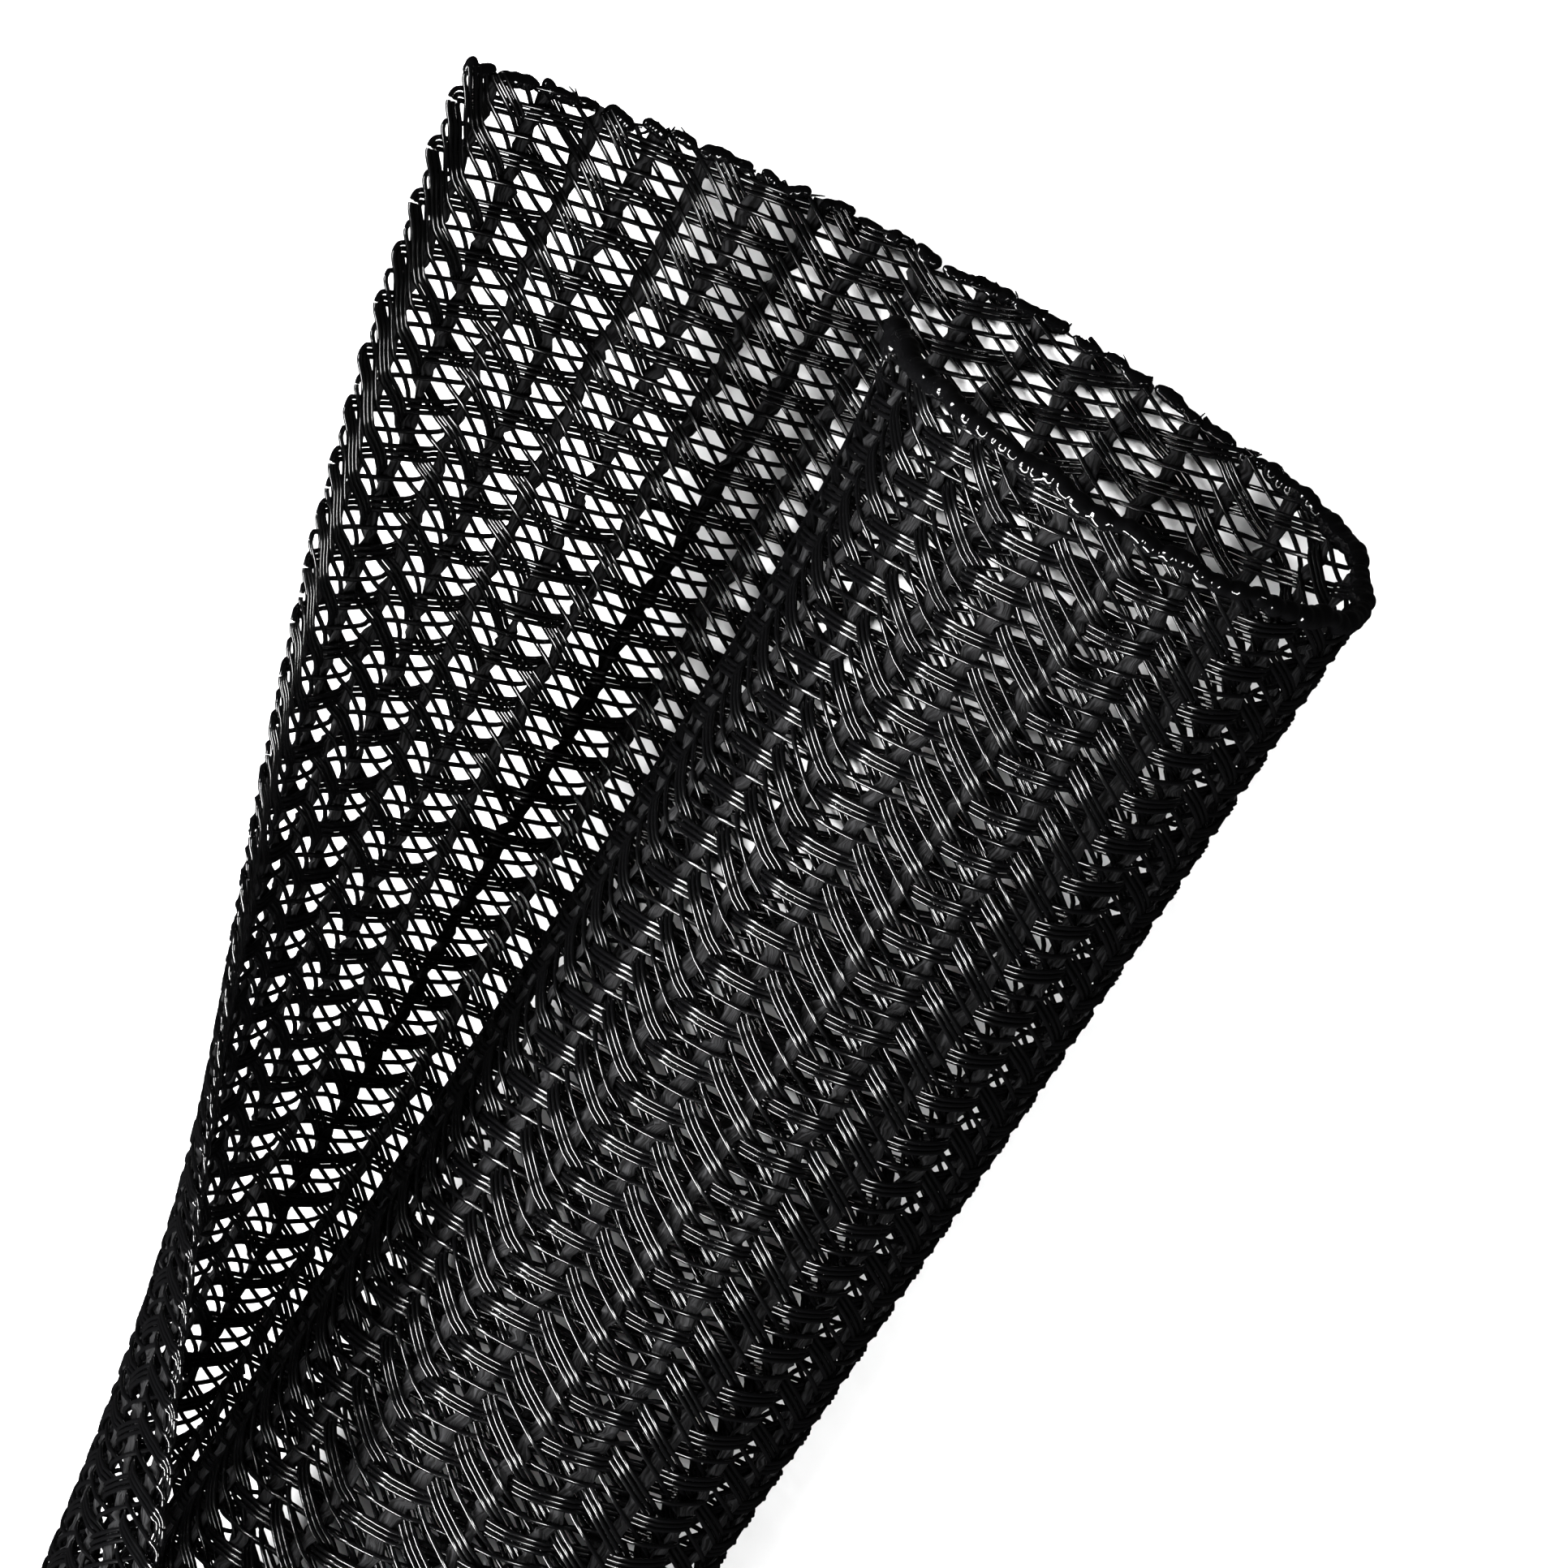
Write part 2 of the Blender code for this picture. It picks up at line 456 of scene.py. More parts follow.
def end_tree(tree, geometry, material):
    """Realize what the tree made, give it its material and send it out."""
    real = add_node(tree, "GeometryNodeRealizeInstances", {"Geometry": geometry})
    painted = add_node(
        tree, "GeometryNodeSetMaterial", {"Geometry": real.outputs[0], "Material": material}
    )
    out = tree.nodes.new("NodeGroupOutput")
    tree.links.new(painted.outputs[0], out.inputs[0])


def attribute(tree, name, kind="FLOAT"):
    """The socket of an attribute of the paths or points."""
    node = add_node(tree, "GeometryNodeInputNamedAttribute", {"Name": name}, data_type=kind)
    return node.outputs["Attribute"]


def scaled(tree, vector, amount):
    """The socket of a vector times an amount."""
    node = add_node(tree, "ShaderNodeVectorMath", {0: vector, "Scale": amount}, operation="SCALE")
    return node.outputs["Vector"]


def added(tree, first, second):
    """The socket of two vectors added."""
    node = add_node(tree, "ShaderNodeVectorMath", {0: first, 1: second}, operation="ADD")
    return node.outputs["Vector"]


def number(tree, operation, first, second):
    """The socket of two numbers combined."""
    node = add_node(tree, "ShaderNodeMath", {0: first, 1: second}, operation=operation)
    return node.outputs["Value"]


def strand_tree():
    """Filaments side by side along each path, raised and dipped through the sheet."""
    tree, given = new_geometry_tree("Strand Filaments", [
        ("Filament Thickness", "NodeSocketFloat"),
        ("Filaments", "NodeSocketInt"),
        ("Lane Gap", "NodeSocketFloat"),
        ("Lift", "NodeSocketFloat"),
        ("Looseness", "NodeSocketFloat"),
        ("Sides", "NodeSocketInt"),
        ("Seed", "NodeSocketInt"),
        ("Material", "NodeSocketMaterial"),
    ])
    paths = add_node(tree, "GeometryNodeMeshToCurve", {"Mesh": given["Geometry"]})
    lanes = add_node(
        tree, "GeometryNodeDuplicateElements",
        {"Geometry": paths.outputs[0], "Amount": given["Filaments"]}, domain="SPLINE",
    )
    middle = number(tree, "MULTIPLY", number(tree, "SUBTRACT", given["Filaments"], 1.0), 0.5)
    lane = number(tree, "SUBTRACT", lanes.outputs["Duplicate Index"], middle)
    shift = number(tree, "MULTIPLY", lane, given["Lane Gap"])
    place = add_node(tree, "GeometryNodeInputPosition")
    drift_key = number(tree, "ADD", lanes.outputs["Duplicate Index"], given["Seed"])
    drift = add_node(
        tree, "ShaderNodeTexNoise",
        {"Vector": place.outputs[0], "W": drift_key, "Scale": STRAY_SCALE, "Detail": 0.0},
        noise_dimensions="4D",
    )
    stray = number(tree, "SUBTRACT", drift.outputs["Fac"], 0.5)
    sideways = number(tree, "ADD", shift, number(tree, "MULTIPLY", stray, given["Looseness"]))
    raised = number(tree, "MULTIPLY", attribute(tree, "wave"), given["Lift"])
    offset = added(
        tree,
        scaled(tree, attribute(tree, "side", "FLOAT_VECTOR"), sideways),
        scaled(tree, attribute(tree, "out", "FLOAT_VECTOR"), raised),
    )
    woven = add_node(
        tree, "GeometryNodeSetPosition", {"Geometry": lanes.outputs["Geometry"], "Offset": offset}
    )
    radius = number(tree, "MULTIPLY", given["Filament Thickness"], 0.5)
    profile = add_node(
        tree, "GeometryNodeCurvePrimitiveCircle", {"Resolution": given["Sides"], "Radius": radius}
    )
    tubes = add_node(
        tree, "GeometryNodeCurveToMesh",
        {"Curve": woven.outputs[0], "Profile Curve": profile.outputs[0], "Fill Caps": True},
    )
    smooth = add_node(tree, "GeometryNodeSetShadeSmooth", {"Geometry": tubes.outputs[0]})
    end_tree(tree, smooth.outputs[0], given["Material"])
    return tree


def yarn_tree():
    """One flat fibrous yarn along each path, with its fibres numbered for its material."""
    tree, given = new_geometry_tree("Lengthwise Yarns", [
        ("Width", "NodeSocketFloat"),
        ("Thickness", "NodeSocketFloat"),
        ("Sides", "NodeSocketInt"),
        ("Raggedness", "NodeSocketFloat"),
        ("Material", "NodeSocketMaterial"),
    ])
    paths = add_node(tree, "GeometryNodeMeshToCurve", {"Mesh": given["Geometry"]})
    along = add_node(tree, "GeometryNodeSplineParameter")
    measured = add_node(
        tree, "GeometryNodeStoreNamedAttribute",
        {"Geometry": paths.outputs[0], "Name": "fibre_along", "Value": along.outputs["Length"]},
        data_type="FLOAT", domain="POINT",
    )
    facing = add_node(
        tree, "GeometryNodeSetCurveNormal",
        {"Curve": measured.outputs[0], "Normal": attribute(tree, "out", "FLOAT_VECTOR")},
        mode="FREE",
    )
    circle = add_node(
        tree, "GeometryNodeCurvePrimitiveCircle", {"Resolution": given["Sides"], "Radius": 0.5}
    )
    around = add_node(tree, "GeometryNodeSplineParameter")
    counted = add_node(
        tree, "GeometryNodeStoreNamedAttribute",
        {"Geometry": circle.outputs[0], "Name": "fibre_around", "Value": around.outputs["Factor"]},
        data_type="FLOAT", domain="POINT",
    )
    flat = add_node(
        tree, "ShaderNodeCombineXYZ", {"X": given["Thickness"], "Y": given["Width"], "Z": 1.0}
    )
    profile = add_node(
        tree, "GeometryNodeTransform",
        {"Geometry": counted.outputs[0], "Scale": flat.outputs[0]},
    )
    yarns = add_node(tree, "GeometryNodeCurveToMesh", {
        "Curve": facing.outputs[0],
        "Profile Curve": profile.outputs[0],
        "Scale": attribute(tree, "wave"),
        "Fill Caps": True,
    })
    place = add_node(tree, "GeometryNodeInputPosition")
    rough = add_node(
        tree, "ShaderNodeTexNoise",
        {"Vector": place.outputs[0], "Scale": RAGGED_SCALE, "Detail": 1.0},
        noise_dimensions="3D",
    )
    centred = add_node(
        tree, "ShaderNodeVectorMath", {0: rough.outputs["Color"], 1: (0.5, 0.5, 0.5)},
        operation="SUBTRACT",
    )
    ragged = add_node(tree, "GeometryNodeSetPosition", {
        "Geometry": yarns.outputs[0],
        "Offset": scaled(tree, centred.outputs["Vector"], given["Raggedness"]),
    })
    smooth = add_node(tree, "GeometryNodeSetShadeSmooth", {"Geometry": ragged.outputs[0]})
    end_tree(tree, smooth.outputs[0], given["Material"])
    return tree


def bead_tree():
    """Beads that have run together where they touch."""
    tree, given = new_geometry_tree("Fused Beads", [
        ("Grain", "NodeSocketFloat"),
        ("Softening", "NodeSocketInt"),
        ("Material", "NodeSocketMaterial"),
    ])
    radius = attribute(tree, "bead_radius")
    points = add_node(
        tree, "GeometryNodeMeshToPoints", {"Mesh": given["Geometry"], "Radius": radius}
    )
    volume = add_node(
        tree, "GeometryNodePointsToVolume",
        {"Points": points.outputs[0], "Voxel Size": given["Grain"], "Radius": radius},
        resolution_mode="VOXEL_SIZE",
    )
    skin = add_node(
        tree, "GeometryNodeVolumeToMesh",
        {"Volume": volume.outputs[0], "Threshold": SKIN_THRESHOLD, "Adaptivity": 0.0},
    )
    place = add_node(tree, "GeometryNodeInputPosition")
    softened = add_node(
        tree, "GeometryNodeBlurAttribute",
        {"Value": place.outputs[0], "Iterations": given["Softening"]}, data_type="FLOAT_VECTOR",
    )
    run = add_node(
        tree, "GeometryNodeSetPosition",
        {"Geometry": skin.outputs[0], "Position": softened.outputs[0]},
    )
    smooth = add_node(tree, "GeometryNodeSetShadeSmooth", {"Geometry": run.outputs[0]})
    end_tree(tree, smooth.outputs[0], given["Material"])
    return tree


def thread_tree():
    """A round thread along each path, as thick as its points say."""
    tree, given = new_geometry_tree("Drawn Threads", [
        ("Sides", "NodeSocketInt"),
        ("Material", "NodeSocketMaterial"),
    ])
    paths = add_node(tree, "GeometryNodeMeshToCurve", {"Mesh": given["Geometry"]})
    profile = add_node(
        tree, "GeometryNodeCurvePrimitiveCircle", {"Resolution": given["Sides"], "Radius": 1.0}
    )
    threads = add_node(tree, "GeometryNodeCurveToMesh", {
        "Curve": paths.outputs[0],
        "Profile Curve": profile.outputs[0],
        "Scale": attribute(tree, "thread_radius"),
        "Fill Caps": True,
    })
    smooth = add_node(tree, "GeometryNodeSetShadeSmooth", {"Geometry": threads.outputs[0]})
    end_tree(tree, smooth.outputs[0], given["Material"])
    return tree


def wander(draw, places, wavelength, size, reach):
    """A smooth random track over places from zero to a reach."""
    # Spare knots past both ends keep every place between two of them
    knots = math.ceil(reach / wavelength) + 4
    values = draw.normal(0.0, size, knots)
    at = np.clip(places / wavelength + 1, 0.0, knots - 2.001)
    low = np.floor(at).astype(int)
    share = at - low
    ease = share * share * (3 - 2 * share)
    return values[low] * (1 - ease) + values[low + 1] * ease


def runs_of(tracks):
    """Where each track starts and ends, once all of them are joined."""
    ends = [0, *itertools.accumulate(len(track) for track in tracks)]
    return list(zip(ends, ends[1:]))


def path_mesh(name, points, runs, attributes):
    """A mesh of points, joined along each run, with their attributes."""
    mesh = bpy.data.meshes.new(name)
    joins = [np.zeros((0, 2), int)]
    for start, end in runs:
        joins.append(np.stack([np.arange(start, end - 1), np.arange(start + 1, end)], -1))
    joins = np.concatenate(joins)
    mesh.vertices.add(len(points))
    mesh.vertices.foreach_set("co", points.astype(np.float32).ravel())
    mesh.edges.add(len(joins))
    mesh.edges.foreach_set("vertices", joins.astype(np.int32).ravel())
    for key, data in attributes.items():
        kind, field = ("FLOAT_VECTOR", "vector") if data.ndim == 2 else ("FLOAT", "value")
        layer = mesh.attributes.new(key, kind, "POINT")
        layer.data.foreach_set(field, data.astype(np.float32).ravel())
    return mesh


def grow_piece(name, points, runs, attributes, tree, values):
    """Run a tree over paths or points and leave a plain mesh that rides on the sleeve."""
    piece = bpy.data.objects.new(name, path_mesh(name, points, runs, attributes))
    bpy.context.scene.collection.objects.link(piece)
    modifier = piece.modifiers.new(tree.name, "NODES")
    modifier.node_group = tree
    for item in tree.interface.items_tree:
        if item.in_out == "INPUT" and item.name in values:
            modifier[item.identifier] = values[item.name]
    bpy.context.view_layer.update()
    grown = piece.evaluated_get(bpy.context.evaluated_depsgraph_get())
    result = bpy.data.meshes.new_from_object(grown)
    piece.modifiers.remove(modifier)
    piece.data = result
    result.name = name
    if not result.polygons:
        raise RuntimeError(f"{name} came out empty")
    for key in attributes:
        if key in result.attributes:
            result.attributes.remove(result.attributes[key])
    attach(piece, BODY)
    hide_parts(NODE)


def column_across(sheet, weave, places):
    """Across at a number of columns from the tucked edge."""
    whole = sheet_width(sheet)
    return np.interp(places, [0, weave.roll_columns, weave.columns], [0, roll_width(sheet), whole])


def eased(reach, softness):
    """Zero below zero and the reach above it, with a soft start."""
    return (reach + np.sqrt(reach**2 + softness**2)) / 2


def near(reach, distance, power=2):
    """One at a reach of zero, falling to nothing past a distance."""
    return np.exp(-((reach / distance) ** power))


def row_lead(sheet, weave, across, row):
    """How far a row of the braid leads towards the sprung cut."""
    past_foot = across - roll_width(sheet)
    roll_reach = eased(ROLL_LEAD_START - across, LEAD_SOFTNESS)
    flap_reach = eased(past_foot - FLAP_LEAD_START, LEAD_SOFTNESS)
    crowding = weave.flap_crowding * np.clip(past_foot / FLAP_LEAD_START, 0.0, 1.0)
    crowded = crowding * np.clip(row, 0.0, CROWDED_LENGTH)
    return weave.tuck_skew * roll_reach + weave.flap_skew * flap_reach + crowded


def pass_row(weave, hand, index, places, leaving, hook, phases):
    """How far a pass lies from the sprung cut at each place, before its row leads towards it."""
    row = hand * (places - index) * weave.cell_length / 2
    first, second = phases[index % PHASES]
    swings = np.sin(SWAY_RATES[0] * places + first) + np.sin(SWAY_RATES[1] * places + second)
    row = row + weave.sway * swings
    steep = np.clip(1 - leaving / weave.rope_width, 0.0, 1.0)
    row = row - weave.cell_length * steep**STEEPNESS + weave.turn_radius * steep
    return row + weave.turn_radius * (1 - np.cos(hook))


def pass_shift(weave, hand, index, leaving, reaching, hook, bulges):
    """How far a pass shifts across near the long edges, where it rounds, hooks and bulges."""
    radius = weave.turn_radius
    came_from = -index - 2 if hand > 0 else 2 * weave.columns + 2 - index
    left_edge, reached_edge = bulges if hand > 0 else bulges[::-1]
    soft = HOOK_SOFTNESS * radius
    rounded = np.sqrt(leaving**2 + soft**2) - soft * near(leaving, 3 * soft)
    rounded = rounded - left_edge[came_from % BULGES] * near(leaving, BULGE_REACH * radius)
    hooked = np.where(reaching < radius, radius * (1 - np.sin(hook)), reaching)
    hooked = hooked - reached_edge[index % BULGES] * near(reaching, BULGE_REACH * radius)
    return hand * ((rounded - leaving) - (hooked - reaching))


def pass_wave(weave, hand, places, edge):
    """Height of a pass over and under the yarns, by how far it is from the nearer long edge."""
    rope = near(edge, ROPE_SHARE * weave.rope_width, ROPE_SHARPNESS)
    woven = np.tanh(WAVE_FLATNESS * np.cos(math.pi * (places - WAVE_START)))
    woven = woven * (1 - rope) + ROPE_HEIGHT * rope
    return hand * woven * (1 - near(edge, EDGE_REACH * weave.turn_radius))


def strand_path(sheet, weave, hand, index, places, draws):
    """Across, along and wave of one pass of a strand, away from the sprung cut.

    A right-hand pass runs from the tucked edge to the flap's, a left-hand one back. A
    pass comes square to the edge that it reaches and hooks round there. The next pass
    runs steeply along that edge, over the strands that come in, before it joins the braid.
    """
    bulges, phases = draws
    plain = column_across(sheet, weave, places)
    to_flap = sheet_width(sheet) - plain
    leaving, reaching = (plain, to_flap) if hand > 0 else (to_flap, plain)
    hook = (1 - np.clip(reaching / weave.turn_radius, 0.0, 1.0)) * math.pi / 2
    row = pass_row(weave, hand, index, places, leaving, hook, phases)
    across = plain + pass_shift(weave, hand, index, leaving, reaching, hook, bulges)
    along = row - row_lead(sheet, weave, across, row)
    gather = CORNER_GATHER * near(along, CORNER_LENGTH) * near(across, CORNER_WIDTH)
    across = across + gather * (CORNER_PLACE - across)
    wave = pass_wave(weave, hand, places, np.minimum(plain, to_flap))
    order = np.argsort(row)
    return across[order], along[order], wave[order]


def cut_line(sheet, across):
    """How far the sprung cut wanders back along the sleeve."""
    draw = np.random.default_rng(CUT_SEED)
    whole = sheet_width(sheet)
    back = CUT_DEPTH
    for wavelength, size in CUT_WANDERS:
        back = back + wander(draw, np.clip(across, 0.0, whole), wavelength, size, whole)
    return np.clip(back, 0.0, None)


def clipped(path, past_start, end):
    """The parts of a path past its start, by how far each point is past it, and before an end."""
    along = path[1]
    keys = np.arange(len(along))
    cuts = [0.0, float(keys[-1])]
    for track in (past_start, along - end):
        for i in np.nonzero(track[:-1] * track[1:] < 0)[0]:
            cuts.append(i - track[i] / (track[i + 1] - track[i]))
    cuts.sort()
    parts = []
    for low, high in zip(cuts, cuts[1:]):
        middle = (low + high) / 2
        inside = np.interp(middle, keys, past_start) >= 0 and np.interp(middle, keys, along) <= end
        if inside and high - low >= SHORTEST_PART:
            inner = np.arange(math.floor(low) + 1, math.ceil(high))
            at = np.concatenate([[low], inner, [high]])
            parts.append([np.interp(at, keys, track) for track in path])
    return parts


def path_places(columns, step, offset):
    """Places along a pass, in cells, closer together where it turns at the long edges."""
    turn = FINE_TURN if step <= SPRUNG_STEP else COARSE_TURN
    first = math.ceil(turn[-1] / step) * step + offset
    middle = np.arange(first, columns - turn[-1] - TURN_MARGIN, step)
    return np.concatenate([turn, middle, (columns - turn)[::-1]])


def strand_runs(sheet, weave, hand, filaments, start, end, step, offset):
    """All passes of one hand and one kind between two distances, ready for the strand tree."""
    draw = np.random.default_rng(weave.seed)
    bulges = draw.gamma(1.0, BULGE_SIZE, (2, BULGES))
    phases = draw.uniform(0.0, 2 * math.pi, (PHASES, 2))
    places = path_places(weave.columns, step, offset)
    rows = math.ceil((sheet.length + LEAD_ALLOWANCE) / (weave.cell_length / 2))
    parts = []
    first, last = (-rows, weave.columns) if hand > 0 else (-1, rows + weave.columns)
    for index in range(first, last + 1):
        # Even passes have three filaments and odd ones a single one
        if (index % 2 == 0) != (filaments > 1):
            continue
        path = strand_path(sheet, weave, hand, index, places, (bulges, phases))
        past_start = path[1] - (start if start > 0 else cut_line(sheet, path[0]))
        parts.extend(clipped(path, past_start, end))
    across, along, wave = (np.concatenate(track) for track in zip(*parts))
    runs = runs_of([part[0] for part in parts])
    points = sheet_places(sheet, across, along)
    out = sheet_normals(sheet, across, along)
    ways = np.zeros_like(points)
    for low, high in runs:
        ways[low:high] = np.gradient(points[low:high], axis=0)
    side = unit(np.cross(out, ways))
    return points, runs, {"side": side, "out": out, "wave": wave}


def join_runs(*sets):
    """Several sets of paths as one."""
    points, runs, attributes = [], [], {}
    total = 0
    for set_points, set_runs, set_attributes in sets:
        points.append(set_points)
        runs.extend((low + total, high + total) for low, high in set_runs)
        for key, data in set_attributes.items():
            attributes.setdefault(key, []).append(data)
        total += len(set_points)
    return np.concatenate(points), runs, {k: np.concatenate(v) for k, v in attributes.items()}


def shader_of(material):
    """A material's Principled shader."""
    return material.node_tree.nodes["Principled BSDF"]


def new_material(name, colour, roughness):
    """A material with its colour and roughness set, and its tree while it is new."""
    material = bpy.data.materials.get(name)
    if material:
        return material, None
    material = bpy.data.materials.new(name)
    material.use_nodes = True
    shader = shader_of(material)
    shader.inputs["Base Color"].default_value = (*colour, 1.0)
    shader.inputs["Roughness"].default_value = roughness
    return material, material.node_tree


def filament_material(finish):
    """Drawn black monofilament: glossy, with faint handling marks."""
    material, tree = new_material("black_monofilament", finish.filament, roughness=0.2)
    if tree is None:
        return material
    shader = shader_of(material)
    shader.inputs["IOR"].default_value = 1.57
    place = add_node(tree, "ShaderNodeTexCoord").outputs["Object"]
    marks = add_node(tree, "ShaderNodeTexNoise", {"Vector": place, "Scale": 900.0, "Detail": 2.0})
    rough = add_node(tree, "ShaderNodeMapRange", {
        "Value": marks.outputs["Fac"],
        "From Min": 0.3,
        "From Max": 0.7,
        "To Min": 0.1,
        "To Max": 0.2,
    })
    tree.links.new(rough.outputs["Result"], shader.inputs["Roughness"])
    return material


def yarn_material(finish):
    """Charcoal multifilament yarn: matt, with fine fibres along it."""
    material, tree = new_material("charcoal_yarn", finish.yarn, roughness=0.7)
    if tree is None:
        return material
    shader = shader_of(material)
    shader.inputs["Specular IOR Level"].default_value = 0.08
    along = add_node(tree, "ShaderNodeAttribute", attribute_name="fibre_along").outputs["Fac"]
    around = add_node(tree, "ShaderNodeAttribute", attribute_name="fibre_around").outputs["Fac"]
    where = add_node(tree, "ShaderNodeCombineXYZ", {
        "X": number(tree, "MULTIPLY", around, FIBRES_AROUND),
        "Y": number(tree, "MULTIPLY", along, FIBRES_ALONG),
    })
    fibres = add_node(
        tree, "ShaderNodeTexNoise", {"Vector": where.outputs[0], "Scale": 1.0, "Detail": 3.0}
    )
    shade = add_node(tree, "ShaderNodeValToRGB", {"Fac": fibres.outputs["Fac"]})
    for index, (position, share) in enumerate(FIBRE_SHADES):
        shade.color_ramp.elements[index].position = position
        shade.color_ramp.elements[index].color = (*(share * c for c in finish.yarn), 1.0)
    tree.links.new(shade.outputs["Color"], shader.inputs["Base Color"])
    bump = add_node(
        tree, "ShaderNodeBump",
        {"Height": fibres.outputs["Fac"], "Strength": 0.6, "Distance": 0.05 * MM},
    )
    tree.links.new(bump.outputs["Normal"], shader.inputs["Normal"])
    return material


def fused_material(finish):
    """Melted and set plastic: very glossy, slightly rippled."""
    material, tree = new_material("fused_plastic", finish.fused, roughness=0.08)
    if tree is None:
        return material
    shader = shader_of(material)
    shader.inputs["IOR"].default_value = 1.45
    place = add_node(tree, "ShaderNodeTexCoord").outputs["Object"]
    ripple = add_node(tree, "ShaderNodeTexNoise", {"Vector": place, "Scale": 2200.0, "Detail": 2.0})
    bump = add_node(
        tree, "ShaderNodeBump",
        {"Height": ripple.outputs["Fac"], "Strength": 0.15, "Distance": 0.03 * MM},
    )
    tree.links.new(bump.outputs["Normal"], shader.inputs["Normal"])
    return material


def floor_material(finish):
    """Plain pale floor, which throws little light back up at the sleeve."""
    material, tree = new_material("pale_floor", finish.floor, roughness=0.6)
    if tree is None:
        return material
    shader = shader_of(material)
    shader.inputs["Specular IOR Level"].default_value = 0.0
    seen = add_node(tree, "ShaderNodeLightPath").outputs["Is Camera Ray"]
    colour = add_node(tree, "ShaderNodeValToRGB", {"Fac": seen})
    colour.color_ramp.elements[0].color = (*FLOOR_BOUNCE, 1.0)
    colour.color_ramp.elements[1].color = (*finish.floor, 1.0)
    tree.links.new(colour.outputs["Color"], shader.inputs["Base Color"])
    return material


def add_strands(scene, name, parts, sides):
    """One piece of strands: parts are (hand, filaments, start, end, step, offset)."""
    sheet, weave = scene.sleeve_sheet, scene.sleeve_weave
    tree = bpy.data.node_groups.get("Strand Filaments") or strand_tree()
    points, runs, attributes = join_runs(*(strand_runs(sheet, weave, *part) for part in parts))
    grow_piece(name, points, runs, attributes, tree, {
        "Filament Thickness": weave.filament,
        "Filaments": parts[0][1],
        "Lane Gap": weave.lane_gap,
        "Lift": weave.lift,
        "Looseness": weave.looseness,
        "Sides": sides,
        "Seed": weave.seed,
        "Material": filament_material(scene.sleeve_finish),
    })


class SLEEVE_OT_triple_strands(bpy.types.Operator):
    """Weave the bias strands of three filaments"""

    bl_idname = "sleeve.triple_strands"
    bl_label = "Weave Triple Strands"

    def execute(self, context):
        """Make each hand's strands, finer near the sprung end."""
        scene = context.scene
        join, end = scene.sleeve_weave.sprung_detail, scene.sleeve_sheet.length
        for hand, word in HAND_NAMES.items():
            add_strands(
                scene, f"triple_strands_{word}_sprung",
                [(hand, 3, 0.0, join, SPRUNG_STEP, 0.0)], SPRUNG_SIDES,
            )
            add_strands(
                scene, f"triple_strands_{word}_closed",
                [(hand, 3, join, end, CLOSED_STEP, CLOSED_OFFSET)], CLOSED_SIDES,
            )
        return {"FINISHED"}


class SLEEVE_OT_single_strands(bpy.types.Operator):
    """Weave the bias strands of one filament"""

    bl_idname = "sleeve.single_strands"
    bl_label = "Weave Single Strands"

    def execute(self, context):
        """Make both hands' strands, finer near the sprung end."""
        scene = context.scene
        join, end = scene.sleeve_weave.sprung_detail, scene.sleeve_sheet.length
        add_strands(
            scene, "single_strands_sprung",
            [(hand, 1, 0.0, join, SPRUNG_STEP, 0.0) for hand in HAND_NAMES], SPRUNG_SIDES,
        )
        add_strands(
            scene, "single_strands_closed",
            [(hand, 1, join, end, CLOSED_STEP, CLOSED_OFFSET) for hand in HAND_NAMES],
            CLOSED_SIDES,
        )
        return {"FINISHED"}


def yarn_track(sheet, weave, draw, column):
    """Across, along and wave of one yarn, with finer steps near the sprung end."""
    middle = float(column_across(sheet, weave, column + 0.5))
    start = float(cut_line(sheet, np.array([middle]))[0])
    join, end = weave.sprung_detail, sheet.length
    fine = np.arange(start, join, weave.cell_length / YARN_STEPS_A_CELL)
    coarse = np.arange(join, end, YARN_CELLS_A_STEP * weave.cell_length)
    along = np.concatenate([fine, coarse, [end]])
    drift, jog, swell = (wander(draw, along, *sizes, end) for sizes in YARN_WANDERS)
    wave = np.where(along < join, np.clip(1 + swell, *YARN_SWELL_LIMITS), 1.0)
    return middle + drift + jog, along, wave


class SLEEVE_OT_yarns(bpy.types.Operator):
    """Lay the matt lengthwise yarns between the strands"""

    bl_idname = "sleeve.yarns"
    bl_label = "Lay Lengthwise Yarns"

    def execute(self, context):
        """Make one yarn in each column, which drifts, jogs and swells along it."""
        scene = context.scene
        sheet, weave = scene.sleeve_sheet, scene.sleeve_weave
        draw = np.random.default_rng(weave.seed + 1)
        yarns = [yarn_track(sheet, weave, draw, column) for column in range(weave.columns)]
        across, along, wave = (np.concatenate(track) for track in zip(*yarns))
        runs = runs_of([yarn[0] for yarn in yarns])
        points = sheet_places(sheet, across, along)
        out = sheet_normals(sheet, across, along)
        tree = bpy.data.node_groups.get("Lengthwise Yarns") or yarn_tree()
        grow_piece("lengthwise_yarns", points, runs, {"out": out, "wave": wave}, tree, {
            "Width": weave.yarn_width,
            "Thickness": weave.yarn_thickness,
            "Sides": YARN_SIDES,
            "Raggedness": weave.raggedness,
            "Material": yarn_material(scene.sleeve_finish),
        })
        return {"FINISHED"}


